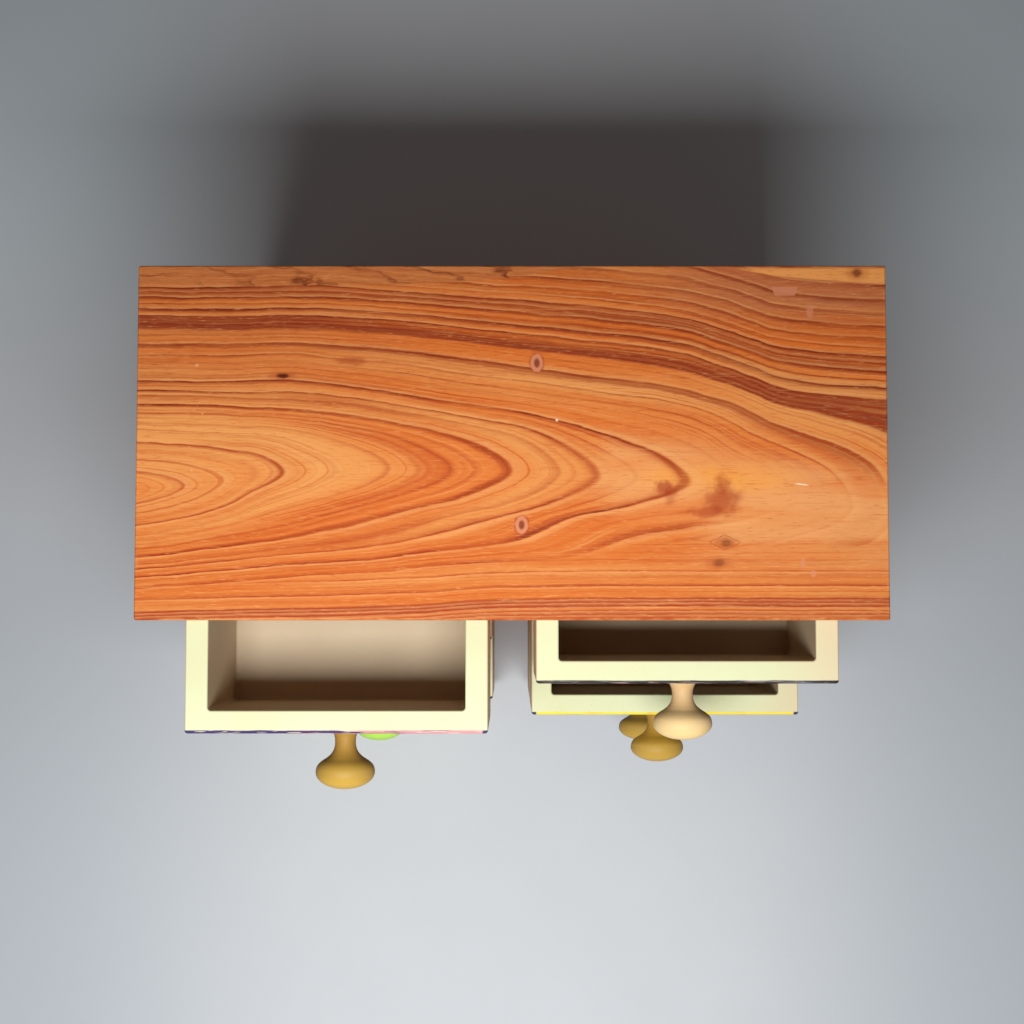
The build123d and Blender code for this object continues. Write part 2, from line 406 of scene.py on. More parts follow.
# The heart's line under the top board, seen from above, and its depth, for the rings over it, behind it and
# in front of it
HEART_LINE = ((-125, -15.5), (-109, -14.4), (-95, -12.8), (-76, -9.8), (-40, -9.3), (0, -9.8), (28, -11.1),
              (56, -12.5), (74, -16.1), (112, -21.1), (125, -22.0))
HEART_DEPTH = ((-125, 4.5), (-109, 8.2), (-76, 16.0), (-40, 22.2), (0, 28.3), (28, 32.9), (60, 36.4),
               (74, 38.0), (112, 44.5), (125, 48.0))
BACK_LINE = ((-125, -14.7), (-95, -13.0), (-60, -10.3), (0, -9.8), (54, -9.8), (64, -10.4), (80, -13.7),
             (89, -16.4), (98, -17.5), (125, -18.8))
BACK_DEPTH = ((-125, 8.0), (-60, 23.0), (0, 33.4), (55, 41.3), (76, 45.5), (125, 47.0))
FRONT_LINE = ((-125, -14.8), (-60, -11.0), (0, -9.8), (60, -12.8), (125, -22.0))
FRONT_DEPTH = ((-125, 4.0), (0, 18.0), (60, 32.0), (125, 40.0))
FRONT_SQUEEZE = 1.19
# Extra distance near the heart's line, which brings the tips of the rings to a point, and how soon it comes
TIP_REACH = 1.1
TIP_WIDTH = 2.0
# Where the arches give way to the straight front lines, and how those lines drop towards the left
FRONT_START = ((-125, -47), (-60, -42), (0, -37), (40, -33), (125, -31))
FRONT_DROP = ((-125, -4.4), (-60, -2.8), (-30, -1.6), (0, 0.0), (125, 0.3))
# Lower edges of the curly strip and of the pale wedge along the back
CURLY_EDGE = ((-125, 52.8), (-60, 52.4), (-10, 54.2), (12, 57.0), (40, 61.0), (125, 64.0))
WEDGE_EDGE = ((70, 59.0), (77, 57.6), (90, 55.6), (125, 53.0))
# Marks on the top board: place, width and depth, and how strongly the stains and knots show
STAINS = (
    ((70.0, -19.6), (11.0, 8.5), 0.65), ((65.0, -23.4), (13.0, 3.4), 0.6), ((69.5, -14.0), (5.0, 6.0), 0.5),
    ((50.3, -15.0), (5.6, 4.0), 0.7), ((52.5, -18.0), (4.0, 6.0), 0.4), ((-53.5, 27.0), (9.0, 2.4), 0.5),
)
KNOTS = (((-76.3, 22.0), (4.0, 1.6), 1.0), ((70.9, -33.7), (3.2, 2.4), 0.5), ((68.5, -40.3), (3.6, 2.5), 0.5),
         ((115.3, 56.6), (3.0, 2.6), 0.7))
YELLOW_GLOWS = (((58.0, -11.6), (24.0, 7.0)), ((77.0, -12.6), (26.0, 8.0)))
FILLER_SPOTS = (((99.4, 43.5), (2.4, 4.2)), ((96.2, -40.2), (1.6, 3.4)), ((99.6, -43.8), (1.8, 2.2)))
FILLED_HOLES = ((8.3, 26.3), (3.2, -27.7))

SAPWOOD = paint(240, 168, 104)
BAND_BROWN = paint(144, 58, 33)
BACK_TAN = paint(204, 122, 66)
FRONT_SHADE_TAN = paint(172, 106, 48)
DULL_BROWN = paint(188, 112, 76)
GLOW_YELLOW = paint(248, 160, 54)
CURLY_PALE = paint(214, 132, 74)
CURLY_DARK = paint(184, 98, 50)
WEDGE_PALE = paint(252, 168, 90)
STAIN_BROWN = paint(166, 56, 28)
KNOT_BROWN = paint(100, 36, 18)
HOLE_BROWN = paint(148, 73, 44)
SCUFF_PALE = paint(255, 226, 196)
PIN_GREY = paint(150, 148, 144)
PIN_RUST = paint(112, 62, 38)


class Figure(NamedTuple):
    """How the rings of the log meet the top board, as fields."""
    across: Field  # distance behind the heart's line, below 0 in front of it
    before: Field  # distance in front of that line, stretched
    radius: Field  # distance from the heart itself
    slope: Field  # how fast the radius grows over the surface
    rows: Field  # distance of the straight front lines from the board's middle
    front: Field  # 1 where the straight lines take over from the rings


def ring_lines(radius, rings, slope=1.0):
    """Darkness of the ring lines: each fades in towards the bark and stops short, with a pale edge beyond.

    The slope is how fast the radius grows over the surface, so that rings cut at a low angle stay thin."""
    dark = []
    pale = []
    spread = slope * 0.9 + 0.7
    for ring, darkness, fade in rings:
        outside = radius.step(ring, ring + RING_EDGE)
        inside = radius.step(ring - spread * fade, ring)
        dark.append(inside * inside * inside * (1.0 - outside) * darkness)
        if darkness > PALE_EDGE_FROM:
            pale.append(outside * (1.0 - radius.step(ring + RING_EDGE, ring + 4 * RING_EDGE)) * darkness)
    return sum(dark[1:], dark[0]), sum(pale[1:], pale[0])


def ring_colour(finish, settings, red, colour, darkness):
    """Ring lines over a colour: red where they are faint, dark in their cores."""
    darkness = darkness.clipped()
    colour = finish.blend((darkness * 1.3).below(1.0), colour, red)
    return finish.blend(darkness * darkness * 0.85, colour, settings.dark)


def wood_tones(finish, settings, red, radius, along, seed, ruddy=0.0):
    """Broad tones, bands and fine streaks that follow the rings, as a colour and a field of streaks."""
    tone = finish.noise(along * 0.007 + seed, radius * 0.12, 3.0) + ruddy
    band = finish.noise(along * 0.007 + seed, radius * 0.42, 5.0, detail=3.0, roughness=0.6)
    streak = finish.noise(along * 0.014 + seed, radius * 1.4, 7.0, detail=4.0, roughness=0.65)
    thread = finish.noise(along * 0.011 + seed, radius * 2.1, 11.0, detail=1.0)
    colour = finish.blend(tone.step(-0.5, 0.5), settings.pale, settings.warm)
    colour = finish.blend(band.step(0.0, 0.5) * 0.6, colour, red)
    colour = finish.blend(streak.step(0.04, 0.5) * 0.5, colour, red)
    colour = finish.blend((0.0 - streak).step(0.1, 0.5) * 0.4, colour, settings.pale)
    colour = finish.blend(thread.step(0.2, 0.5) * 0.8, colour, red)
    colour = finish.blend((0.0 - thread).step(0.24, 0.5) * 0.55, colour, SAPWOOD)
    return colour, streak


def wood_fibres(finish, red, colour, along, across, through):
    """Short dark pores and pale flecks along the grain."""
    fibre = finish.noise(along * 0.06, across * 1.5, through * 1.5, detail=4.0, roughness=0.7)
    fleck = finish.noise(along * 0.30, across * 2.6, through * 2.6, detail=1.0)
    colour = finish.blend(fibre.step(0.05, 0.5) * 0.4, colour, red)
    colour = finish.blend((0.0 - fibre).step(0.1, 0.5) * 0.35, colour, SAPWOOD)
    colour = finish.blend(fleck.step(0.15, 0.6) * 0.4, colour, red)
    return finish.blend((0.0 - fleck).step(0.2, 0.6) * 0.4, colour, SAPWOOD), fibre


def varnished(finish, settings, node, colour, fibre, dark):
    """Pale worn edges, open pores and satin varnish over a board's colour, as its finished material."""
    worn = 1.0 - finish.edge(*box_mm(node)).step(0.2, 1.3)
    colour = finish.blend(worn * finish.clouds(0.2).step(-0.3, 0.4) * 0.35, colour, SAPWOOD)
    finish.relief(fibre * 0.4 - dark, 0.012)
    return finish.surface(colour, settings.varnish + fibre * 0.06 + worn * 0.1, specular=0.08)


def top_figure(finish):
    """The figure of a log whose heart slopes down to the right under the board and drifts to the front."""
    x, y = finish.x, finish.y
    hump = finish.spot(-76.3, 24.0, 20.0, 12.0, soft=0.9) * 0.8
    sway = finish.noise(x * 0.014, y * 0.03, 1.0) * 1.6 + finish.noise(x * 0.06, y * 0.14, 2.0) * 0.6
    jitter = finish.noise(x * 0.22, y * 0.7, 5.0) * 0.2
    line = x.curve(HEART_LINE)
    line = line + (x.curve(BACK_LINE) - line) * y.step(-6.0, 14.0)
    line = line + (x.curve(FRONT_LINE) - line) * (1.0 - y.step(-32.0, -18.0))
    across = y - hump + sway + jitter - line
    behind = across.above(0.0)
    before = (0.0 - across).above(0.0) * FRONT_SQUEEZE
    heart = x.curve(HEART_DEPTH)
    depth = heart + (x.curve(BACK_DEPTH) - heart) * behind.step(8.0, 38.0)
    depth = depth + (x.curve(FRONT_DEPTH) - depth) * before.step(16.0, 40.0)
    depth = depth - (box_mm("top_board")[1].z - finish.z)
    away = behind + before
    away = away + away / (away + TIP_WIDTH) * (1.0 - away.step(5.0, 16.0)) * TIP_REACH
    radius = (away * away + depth * depth).root()
    rows = x.curve(FRONT_DROP) - y + sway * 0.4 + jitter
    front = (x.curve(FRONT_START) - y).step(0.0, 5.0)
    return Figure(across, before, radius, away / radius, rows, front)


def top_tones(finish, settings, red, figure):
    """Tones between the lines, as a colour, a field of streaks and where the wood is calm."""
    x, y = finish.x, finish.y
    across, radius, rows, front = figure.across, figure.radius, figure.rows, figure.front
    deep = 1.0 - y.step(-52.0, -6.0)
    ruddy = y.step(12.0, 36.0) * 0.35 + deep * 0.25
    ruddy = ruddy - (1.0 - x.step(-70.0, -10.0)) * y.between(-20.0, 20.0, 20.0) * 0.25
    grain = radius + (rows + 2.0 - radius) * front
    colour, streak = wood_tones(finish, settings, red, grain, x, 0.0, ruddy)
    tanned = (1.0 - x.step(-90.0, 10.0)) * y.step(4.0, 24.0) * (0.5 + streak * 0.5)
    colour = finish.blend(tanned * 0.7, colour, BACK_TAN)
    calm = x.step(54.0, 74.0) * (1.0 - across.step(4.0, 18.0)) * (1.0 - front)
    quiet = x.step(24.0, 38.0) * (1.0 - across.size().step(6.0, 18.0))
    ease = x.step(40.0, 90.0) * front * (1.0 - rows.step(38.0, 50.0)) * 0.6
    plain = finish.blend(finish.noise(x * 0.02, y * 0.12, 15.0).step(-0.2, 0.8), SAPWOOD, settings.warm)
    colour = finish.blend((calm * 0.85).above(quiet * 0.75).above(ease), colour, plain)
    # Painted shade: the front of the top is toned down towards tan, where the light falls brightest
    colour = finish.blend(deep * 0.33, colour, FRONT_SHADE_TAN)
    for start, end, strength, share in DARK_BANDS:
        band = radius.between(start, end, 0.5) * (1.0 - front) * (1.0 - calm) * (0.75 + streak)
        band = band * ((x - 8.0).size().step(40.0, 85.0) * (1.0 - share) + share)
        colour = finish.blend((band * strength).clipped(), colour, BAND_BROWN)
    dull = x.step(30.0, 80.0) * y.step(34.0, 50.0) * (0.55 + streak * 0.5)
    colour = finish.blend(dull, colour, DULL_BROWN)
    for start, end, strength in FRONT_BANDS:
        band = rows.between(start, end, 0.4) * front * (0.75 + streak)
        colour = finish.blend((band * strength).clipped(), colour, BAND_BROWN)
    for place, size in YELLOW_GLOWS:
        glow = finish.spot(*place, *size, soft=0.8, wobble=0.5)
        colour = finish.blend(glow * 0.45, colour, GLOW_YELLOW)
    return colour, streak, calm


def top_lines(finish, settings, red, figure, colour, streak, calm):
    """Ring lines and front lines with their pale edges, as a colour and a field of darkness."""
    radius, front = figure.radius, figure.front
    ahead = figure.before.step(4.0, 12.0)
    arches, pale = ring_lines(radius, TOP_RINGS, figure.slope)
    tail, rim = ring_lines(radius, BEFORE_RINGS, figure.slope)
    lines, gleam = ring_lines(figure.rows, FRONT_LINES)
    arches = (arches + tail * ahead) * (1.0 - front) * (1.0 - calm * 0.9)
    vigour = 0.9 + finish.noise(finish.x * 0.03, radius * 0.5, 9.0)
    dark = (arches + lines * front) * vigour * (0.8 + streak * 0.8)
    colour = ring_colour(finish, settings, red, colour, dark)
    gleam = ((pale + rim * ahead) * (1.0 - front) + gleam * front) * vigour
    return finish.blend(gleam.clipped() * 0.6, colour, SAPWOOD), dark


def back_strip(finish, settings, colour, streak):
    """Curly wood along the back edge, and a pale wedge in its right corner."""
    x, y = finish.x, finish.y
    curly = (y - x.curve(CURLY_EDGE)).step(-0.4, 0.4)
    curl = finish.noise(x * 0.05, y * 0.12, 6.0, detail=3.0)
    slash = (x * 0.04 + y * 0.12 + curl * 1.3).part()
    slash = slash.step(0.72, 0.95) * (1.0 - slash.step(0.95, 1.0)) * (0.55 + curl * 1.4)
    strip = finish.blend(streak.step(-0.5, 0.5), CURLY_PALE, CURLY_DARK)
    strip = finish.blend(slash.clipped(), strip, settings.dark)
    colour = finish.blend(curly * 0.85, colour, strip)
    wedge = (y - x.curve(WEDGE_EDGE) + streak * 0.4).step(-0.3, 0.3) * (1.0 - y.step(57.8, 58.6))
    return finish.blend(wedge * x.step(72.0, 80.0) * 0.9, colour, WEDGE_PALE)


def top_marks(finish, settings, colour):
    """Knots, stains, filled nail holes, filler patches and scuffs of the top board."""
    x, y = finish.x, finish.y
    for place, size, strength in STAINS:
        stain = finish.spot(*place, *size, soft=0.5, wobble=0.7)
        colour = finish.blend(stain * strength, colour, STAIN_BROWN)
    for place, (width, depth), strength in KNOTS:
        halo = finish.spot(*place, width * 2.2, depth * 1.7, soft=0.6, wobble=0.3)
        colour = finish.blend(halo * 0.35, colour, settings.red)
        knot = finish.spot(*place, width, depth, soft=0.5, wobble=0.35)
        colour = finish.blend(knot * strength, colour, KNOT_BROWN)
    diamond = (x - 70.4).size() / 5.1 + (y + 33.4).size() / 2.6 + finish.clouds(0.4) * 0.3
    outline = diamond.between(0.92, 1.0, 0.06) + diamond.between(0.52, 0.58, 0.08) * 0.6
    colour = finish.blend(outline * 0.8, colour, settings.red)
    for place in FILLED_HOLES:
        rim = finish.spot(*place, 5.0, 6.8, soft=0.15, wobble=0.2)
        colour = finish.blend(rim * 0.6, colour, settings.red)
        plug = finish.spot(*place, 4.2, 6.0, soft=0.15, wobble=0.2)
        colour = finish.blend(plug, colour, settings.filler)
        core = finish.spot(*place, 1.9, 3.0, soft=0.35, wobble=0.2)
        colour = finish.blend(core, colour, HOLE_BROWN)
    trapezoid = (x - 91.1).size() + (50.5 - y) * 0.35
    patch = (1.0 - trapezoid.step(3.7, 4.1)) * y.between(49.0, 52.0, 0.2)
    for place, size in FILLER_SPOTS:
        patch = patch.above(finish.spot(*place, *size, soft=0.25, wobble=0.3) * 0.8)
    colour = finish.blend(patch * 0.85, colour, settings.filler)
    chips = finish.spot(14.9, 7.2, 0.9, 0.9) + finish.spot(-105.0, 25.6, 1.3, 1.1, wobble=0.5) * 0.3
    scuffs = finish.spot(-104.9, 12.0, 10.0, 6.0) + finish.spot(-105.5, -8.0, 8.0, 4.0)
    chips = chips + scuffs * finish.noise(x * 0.9, y * 0.7, 4.0).step(0.3, 0.5) * 0.6
    scratch = x.between(94.2, 98.0, 1.0) * (1.0 - (y + 14.2 + (x - 96.0) * 0.12).size().step(0.1, 0.35))
    return finish.blend(chips.above(scratch).below(1.0) * 0.8, colour, SCUFF_PALE)


def top_wood(settings):
    """The flat-sawn top: nested arches that open to the left, dark bands behind, knots and filled marks."""
    finish = Finish("top_wood")
    red = finish.blend(finish.y.step(-5.0, 30.0), settings.rust, settings.red)
    figure = top_figure(finish)
    colour, streak, calm = top_tones(finish, settings, red, figure)
    colour, dark = top_lines(finish, settings, red, figure, colour, streak, calm)
    colour = back_strip(finish, settings, colour, streak)
    colour, fibre = wood_fibres(finish, red, colour, finish.x, finish.y, finish.z)
    colour = top_marks(finish, settings, colour)
    return varnished(finish, settings, "top_board", colour, fibre, dark)


def plank_wood(node, settings, grain, heart, seed, pitch=2.9):
    """Straight-grained wood, with rings at a pitch round a heart line that runs along the grain."""
    finish = Finish(f"{node}_wood")
    places = {"x": finish.x, "y": finish.y, "z": finish.z}
    along = places.pop(grain)
    first, second = places.values()
    sway = finish.noise(along * 0.012 + seed, first * 0.03, second * 0.03) * 3.0
    wave = finish.noise(along * 0.05, first * 0.12, second * 0.12 + seed) * 0.8
    across = first - heart[0] + sway + wave
    through = second - heart[1] + sway
    radius = (across * across + through * through).root()
    red = settings.red
    colour, streak = wood_tones(finish, settings, red, radius, along, seed)
    turn = radius / pitch + finish.noise(radius * 0.22, seed, 0.0) * 1.2
    ring = turn.part()
    vigour = finish.noise(turn.whole() * 0.73, seed, along * 0.006) * 0.7 + 0.5
    dark = ring.step(0.55, 0.96) * (1.0 - ring.step(0.96, 1.0)) * vigour * (0.8 + streak * 0.7)
    colour = ring_colour(finish, settings, red, colour, dark)
    gleam = ring.step(0.0, 0.06) * (1.0 - ring.step(0.06, 0.22)) * vigour
    colour = finish.blend(gleam.clipped() * 0.4, colour, SAPWOOD)
    colour, fibre = wood_fibres(finish, red, colour, along, first, second)
    return varnished(finish, settings, node, colour, fibre, dark)


def pin_steel():
    """Small steel pins with a little rust."""
    finish = Finish("pin_steel")
    rust = finish.clouds(0.9, detail=4.0).step(0.0, 0.5)
    colour = finish.blend(rust * 0.7, PIN_GREY, PIN_RUST)
    finish.relief(rust, 0.03)
    return finish.surface(colour, 0.35 + rust * 0.4, metallic=0.9)


class CHEST_OT_top_board(Operator):
    """Finish the top board in figured, varnished wood."""
    bl_idname = "chest.top_board"
    bl_label = "Top board"

    def execute(self, context):
        dress("top_board", top_wood(context.scene.chest_wood))
        return {"FINISHED"}


class CHEST_OT_carcass(Operator):
    """Finish the sides, base, divider and shelves in straight-grained wood."""
    bl_idname = "chest.carcass"
    bl_label = "Carcass boards"

    def execute(self, context):
        # Each board's grain, and the heart of its log along the two other axes
        boards = {
            "base_board": ("x", (12.0, -40.0)),
            "left_side": ("z", (-170.0, 8.0)),
            "right_side": ("z", (176.0, -14.0)),
            "centre_divider": ("z", (60.0, 20.0)),
            "upper_left_shelf": ("x", (10.0, 90.0)),
            "lower_left_shelf": ("x", (-20.0, 20.0)),
            "upper_right_shelf": ("x", (30.0, 95.0)),
            "lower_right_shelf": ("x", (-5.0, 10.0)),
        }
        for seed, (node, (grain, heart)) in enumerate(boards.items()):
            dress(node, plank_wood(node, context.scene.chest_wood, grain, heart, seed * 3.7))
        return {"FINISHED"}


class CHEST_OT_back(Operator):
    """Finish the back panel, its pins and the dowels."""
    bl_idname = "chest.back"
    bl_label = "Back panel, pins and dowels"

    def execute(self, context):
        wood = context.scene.chest_wood
        dress("back_panel", plank_wood("back_panel", wood, "x", (20.0, 130.0), 31.0, pitch=7.0))
        for node in ("top_dowels", "base_dowels"):
            dress(node, plank_wood(node, wood, "z", (20.0, 300.0), 40.0, pitch=1.2))
        dress("back_panel_pins", pin_steel())
        return {"FINISHED"}


# Ceramic

CREAM = paint(250, 240, 205)
PINK = paint(226, 140, 146)
ROSE = paint(214, 172, 166)
INDIGO = paint(58, 40, 98)
NAVY = paint(50, 44, 92)
CHARCOAL = paint(44, 34, 30)
GREY_BLUE = paint(104, 106, 116)
YELLOW = paint(240, 216, 70)
TURQUOISE = paint(54, 150, 150)
LEAF_GREEN = paint(96, 148, 62)
COBALT = paint(38, 74, 150)
MUSTARD = paint(214, 164, 56)

SHADED_CREAM = paint(206, 192, 142)
FALLOFF_SHADE_CREAM = paint(216, 200, 163)
PAINTED_SIDE_SHADE = paint(216, 192, 160)
POOLED_BEIGE = paint(178, 156, 122)
SPECK_BROWN = paint(150, 104, 60)
CRACK_BROWN = paint(176, 142, 96)
DARK_CLAY = paint(180, 142, 106)

# Each front's paint: the ground, the edge that wraps over the rim, its corners, streaks of two more colours
# along that edge, and how far the first of these gathers towards the right end
FRONTS = {
    "top_left": (INDIGO, INDIGO, NAVY, (PINK, CREAM), 0.3),
    "top_right": (CHARCOAL, CHARCOAL, CHARCOAL, (GREY_BLUE, ROSE), 0.0),
    "middle_left": (CREAM, CHARCOAL, CHARCOAL, (TURQUOISE, CREAM), 0.0),
    "middle_right": (YELLOW, YELLOW, NAVY, (YELLOW, MUSTARD), 0.0),
    "lower_left": (CREAM, CHARCOAL, CHARCOAL, (LEAF_GREEN, CREAM), 0.0),
    "lower_right": (COBALT, COBALT, NAVY, (CREAM, COBALT), 0.0),
}
BORDER_WIDTH = 2.2
# Painted shade: where the cream turns warmer and darker towards the right end of the chest, where less light
# falls
RIGHT_SHADE_START, RIGHT_SHADE_END = 84.0, 114.0


def front_paint(finish, drawer, from_side, from_rim):
    """A drawer's painted front: a washed ground in a streaked border with dark corners."""
    low, high = box_mm(f"{drawer}_drawer")
    middle = (low + high) / 2
    x, y, z = finish.x, finish.y, finish.z
    ground, border, corner, streaks, lean = FRONTS[drawer]
    wash = finish.noise(x * 0.10, z * 0.26, middle.y, detail=4.0)
    lighter = [value * 0.6 + 0.25 for value in ground]
    front = finish.blend(wash.step(0.0, 0.8) * 0.35, ground, lighter)
    brush = finish.noise(x * 0.35, z * 0.35, middle.x) * 0.5
    edging = 1.0 - (from_side.below(from_rim) + brush).step(BORDER_WIDTH - 0.3, BORDER_WIDTH + 0.3)
    front = finish.blend(edging, front, border)
    depth = (y + z) * 2.2
    drift = (x - middle.x) * (2 * lean / (high.x - low.x))
    streak = finish.noise(x * 0.045, depth, middle.x, detail=3.0) + drift
    front = finish.blend(edging * streak.step(0.10, 0.22), front, streaks[0])
    dash = finish.noise(x * 0.12, depth * 1.4, middle.z, detail=2.0)
    front = finish.blend(edging * dash.step(0.24, 0.34), front, streaks[1])
    return finish.blend(1.0 - (from_side + brush).step(1.4, 2.2), front, corner)


def drawer_glaze(drawer, glaze):
    """Cream glaze with iron specks and painted shade on its sides and towards the right, thinner and beige
    inside with painted shade there, a bare underside and a painted front.
    """
    finish = Finish(f"{drawer}_glaze")
    low, high = box_mm(f"{drawer}_drawer")
    x, y, z = finish.x, finish.y, finish.z
    middle = (low + high) / 2
    from_side = (high.x - low.x) / 2 - (x - middle.x).size()
    from_end = (high.y - low.y) / 2 - (y - middle.y).size()
    from_rim = (high.z - low.z) / 2 - (z - middle.z).size()
    cloud = finish.clouds(0.03)
    colour = finish.blend(cloud.step(-0.5, 0.7) * 0.3, glaze.cream, SHADED_CREAM)
    # Painted shade: warmer, darker cream towards the right end of the chest, where less light falls
    colour = finish.blend(x.step(RIGHT_SHADE_START, RIGHT_SHADE_END) * 0.9, colour, FALLOFF_SHADE_CREAM)
    # Painted shade: the drawer's outer sides are darker and warmer, as they are turned from the light
    colour = finish.blend(1.0 - from_side.step(0.1, 0.6), colour, PAINTED_SIDE_SHADE)
    # Beige inside: partly a thinner glaze, partly painted shade in the hollow of the drawer
    inside = from_side.below(from_end).step(5.6, 7.2) * (high.z - z + cloud * 0.4).step(0.6, 1.6)
    pooled = finish.blend(cloud.step(-0.5, 0.6) * 0.4, glaze.inside, POOLED_BEIGE)
    colour = finish.blend(inside, colour, pooled)
    # A darker clay line along the rounded inner edge of the rim: partly glaze that breaks thin there, partly
    # painted shade
    colour = finish.blend(inside * (1.0 - inside) * 1.4, colour, glaze.clay)
    thin = 1.0 - finish.edge(low, high).step(0.1, 1.2)
    colour = finish.blend(thin * finish.clouds(0.3).step(0.0, 0.6) * 0.22, colour, glaze.clay)
    speck = finish.clouds(1.1, detail=1.0).step(0.56, 0.66)
    colour = finish.blend(speck * 0.35, colour, SPECK_BROWN)
    hairline = 1.0 - finish.cracks(0.09).step(0.003, 0.010)
    colour = finish.blend(hairline * 0.05, colour, CRACK_BROWN)
    wrap = glaze.wrap * MM_PER_M
    reach = (y - low.y) + finish.noise(x * 0.12, z * 0.12, middle.x) * 0.25
    painted = 1.0 - reach.step(wrap - 0.12, wrap + 0.12)
    colour = finish.blend(painted, colour, front_paint(finish, drawer, from_side, from_rim))
    bare = 1.0 - (z - low.z + cloud * 0.4).step(0.5, 0.9)
    biscuit = finish.blend(finish.clouds(0.8).step(-0.4, 0.6), glaze.clay, DARK_CLAY)
    colour = finish.blend(bare, colour, biscuit)
    finish.relief(cloud * 0.5 + finish.clouds(0.5) * 0.12 - speck * 0.3, 0.09)
    return finish.surface(colour, glaze.gloss + cloud * 0.08 + bare * 0.35, specular=0.25)


# Shares of red, green and blue left in a knob's darker glaze, used for its mottling and for the pooled glaze
# and painted shade in the neck, and the most that the painted highlight brightens its front
DARKER_GLAZE_SHARES = (0.66, 0.54, 0.62)
PAINTED_HIGHLIGHT_GAIN = 1.5


def knob_glaze(drawer, colour, glaze):
    """One glaze over faint throwing rings: pooled glaze and painted shade in the neck, thin on the widest
    ring, a painted highlight in front.
    """
    finish = Finish(f"{drawer}_knob_glaze")
    low, high = box_mm(f"{drawer}_knob")
    across = finish.x - (low.x + high.x) / 2
    up = finish.z - (low.z + high.z) / 2
    radius = (across * across + up * up).root()
    from_front = finish.y - low.y
    widest = (high.x - low.x) / 2
    gain = min(PAINTED_HIGHLIGHT_GAIN, 1.0 / max(colour))
    darker = [value * share for value, share in zip(colour, DARKER_GLAZE_SHARES)]
    paler = [min(1.0, value * 1.1 + 0.05) for value in colour]
    painted_highlight = [value * gain for value in colour]
    cloud = finish.clouds(0.11)
    shade = finish.blend(cloud.step(-0.4, 0.8) * 0.45, tuple(colour), darker)
    # Darker in the neck: partly pooled glaze, partly painted shade where the head and the drawer front shade
    # it
    neck = (1.0 - radius.step(widest * 0.34, widest * 0.62)) * from_front.step(5.0, 9.0)
    shade = finish.blend(neck * 0.5, shade, darker)
    shade = finish.blend(radius.step(widest * 0.93, widest) * cloud.step(-0.5, 0.5) * 0.5, shade, paler)
    # Painted highlight: the front of the head is brightened where the light falls on it
    shade = finish.blend((1.0 - from_front.step(1.4, 5.8)) * 0.95, shade, painted_highlight)
    speck = finish.clouds(1.2, detail=1.0).step(0.54, 0.66)
    shade = finish.blend(speck * 0.5, shade, [value * 0.3 for value in colour])
    rings = finish.noise(finish.y * 0.9, radius * 0.12, 0.0)
    finish.relief(rings * 0.5 + cloud * 0.5 - speck * 0.3, 0.10)
    return finish.surface(shade, glaze.gloss + cloud * 0.08, specular=0.25)


def enamel(name, colour, glaze):
    """Opaque raised paint, thinner at the ends of its strokes."""
    finish = Finish(name)
    cloud = finish.clouds(0.35, detail=4.0)
    darker = [value * 0.7 for value in colour]
    shade = finish.blend(cloud.step(-0.4, 0.7) * 0.6, colour, darker)
    finish.relief(cloud, 0.05)
    return finish.surface(shade, glaze.gloss - 0.08 + cloud * 0.06, specular=0.4)


class CHEST_OT_drawers(Operator):
    """Glaze the six drawers."""
    bl_idname = "chest.drawers"
    bl_label = "Drawers"

    def execute(self, context):
        for drawer in DRAWERS:
            dress(f"{drawer}_drawer", drawer_glaze(drawer, context.scene.chest_glaze))
        return {"FINISHED"}


class CHEST_OT_knobs(Operator):
    """Glaze the six knobs."""
    bl_idname = "chest.knobs"
    bl_label = "Knobs"

    def execute(self, context):
        glaze = context.scene.chest_glaze
        colours = {"lower_left": glaze.green, "middle_left": glaze.peach, "top_right": glaze.peach}
        for drawer in DRAWERS:
            dress(f"{drawer}_knob", knob_glaze(drawer, colours.get(drawer, glaze.mustard), glaze))
        return {"FINISHED"}


# Brushwork

# A stroke is a function from an inset to an outline, on a front measured from its middle. A motif takes the
# front's width and height and gives its strokes one by one, each with its colour.
DOT_SIDES = 14
LEAF_STEPS = 10
BOW_STEPS = 14


def polar(u, v, reach, turn):
    """The place at a distance and an angle from (u, v)."""
    return u + reach * math.cos(turn), v + reach * math.sin(turn)


def dot(u, v, radius):
    """Round dab."""
    def outline(inset):
        return [polar(u, v, radius - inset, math.tau * step / DOT_SIDES) for step in range(DOT_SIDES)]
    return outline


def leaf(u, v, angle, length, width, fullness=1.0):
    """Pointed stroke from (u, v); a fullness above 1 puts its belly nearer the far end."""
    def outline(inset):
        lower, upper = [], []
        for step in range(LEAF_STEPS + 1):
            share = step / LEAF_STEPS
            along = inset + (length - 2 * inset) * share
            half = (width / 2 - inset) * math.sin(math.pi * min(1.0, 0.03 + 0.94 * share) ** fullness)
            for side, points in ((-half, lower), (half, upper)):
                points.append((u + along * math.cos(angle) - side * math.sin(angle),
                               v + along * math.sin(angle) + side * math.cos(angle)))
        return lower + upper[::-1]
    return outline


def bow(u, v, radius, start, sweep, width):
    """Bent stroke round (u, v), tapered at both ends."""
    def outline(inset):
        outer, inner = [], []
        for step in range(BOW_STEPS + 1):
            share = step / BOW_STEPS
            turn = start + sweep * share
            half = (width / 2 - inset) * (0.25 + 0.75 * math.sin(math.pi * share) ** 0.5)
            outer.append(polar(u, v, radius + half, turn))
            inner.append(polar(u, v, radius - half, turn))
        return outer + inner[::-1]
    return outline


